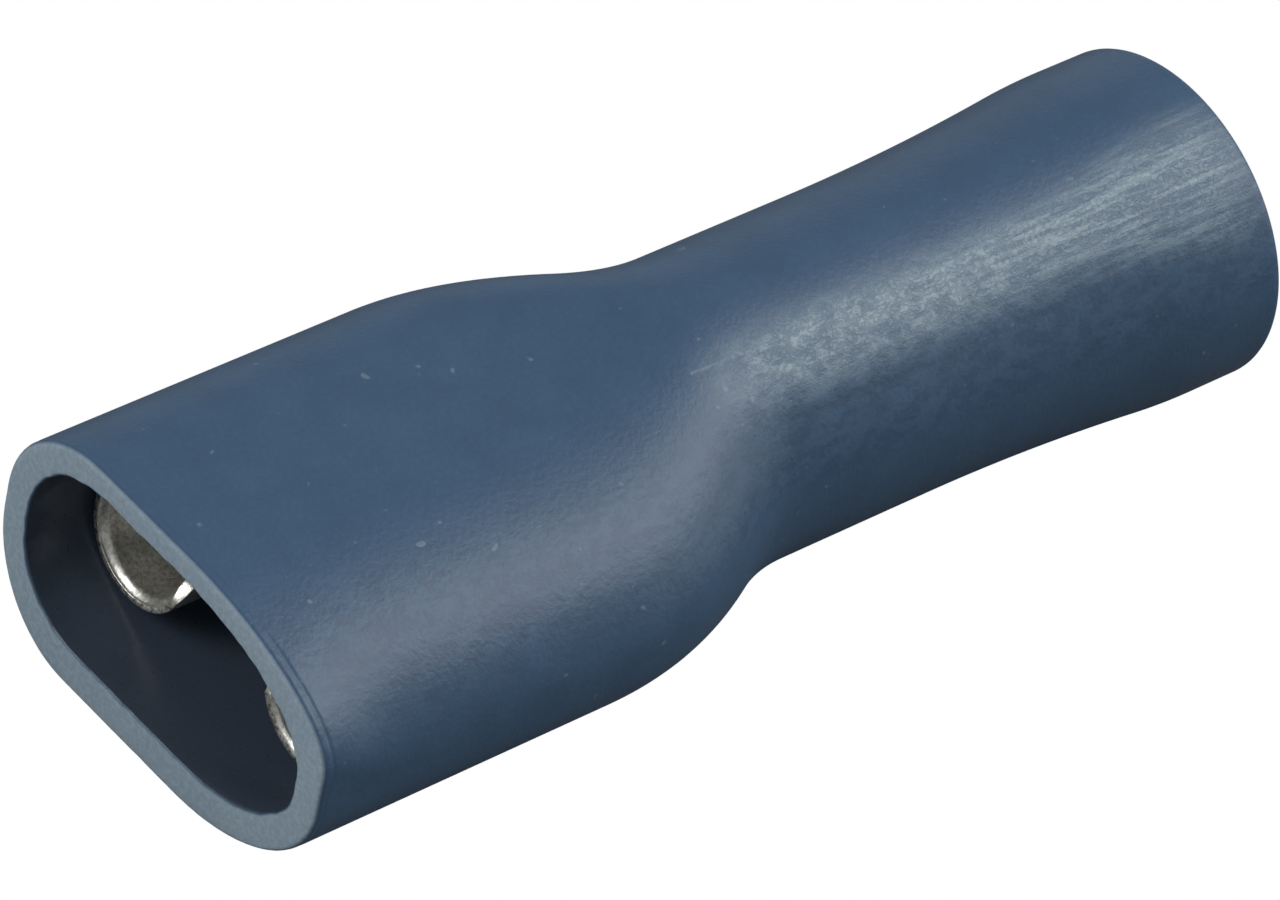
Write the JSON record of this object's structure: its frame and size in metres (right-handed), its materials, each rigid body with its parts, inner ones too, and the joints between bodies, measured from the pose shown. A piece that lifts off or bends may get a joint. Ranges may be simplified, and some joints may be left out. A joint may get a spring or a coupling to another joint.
{
  "type": "female spade terminal",
  "caption": "Fully insulated female spade terminal: rolled, tin-plated brass receptacle and crimp barrel inside a blue moulded sleeve with a flat tab mouth and a flared wire entry.",
  "frame": {"origin": "centre of the tab slot at the plane of the mouth's face, on the axis of the crimp barrel", "axes": "+X runs along the terminal from the tab mouth to the wire entry, +Y across the tab, +Z out of the flat roof of the mouth"},
  "size_m": [0.0237, 0.0088, 0.0064],
  "materials": {
    "housing_plastic": "matte moulded blue with a fine grain",
    "tinned_brass": "satin tin plate over brass sheet"
  },
  "bodies": {
    "root": {"housing": "housing_plastic", "terminal": "tinned_brass"}
  },
  "joints": []
}
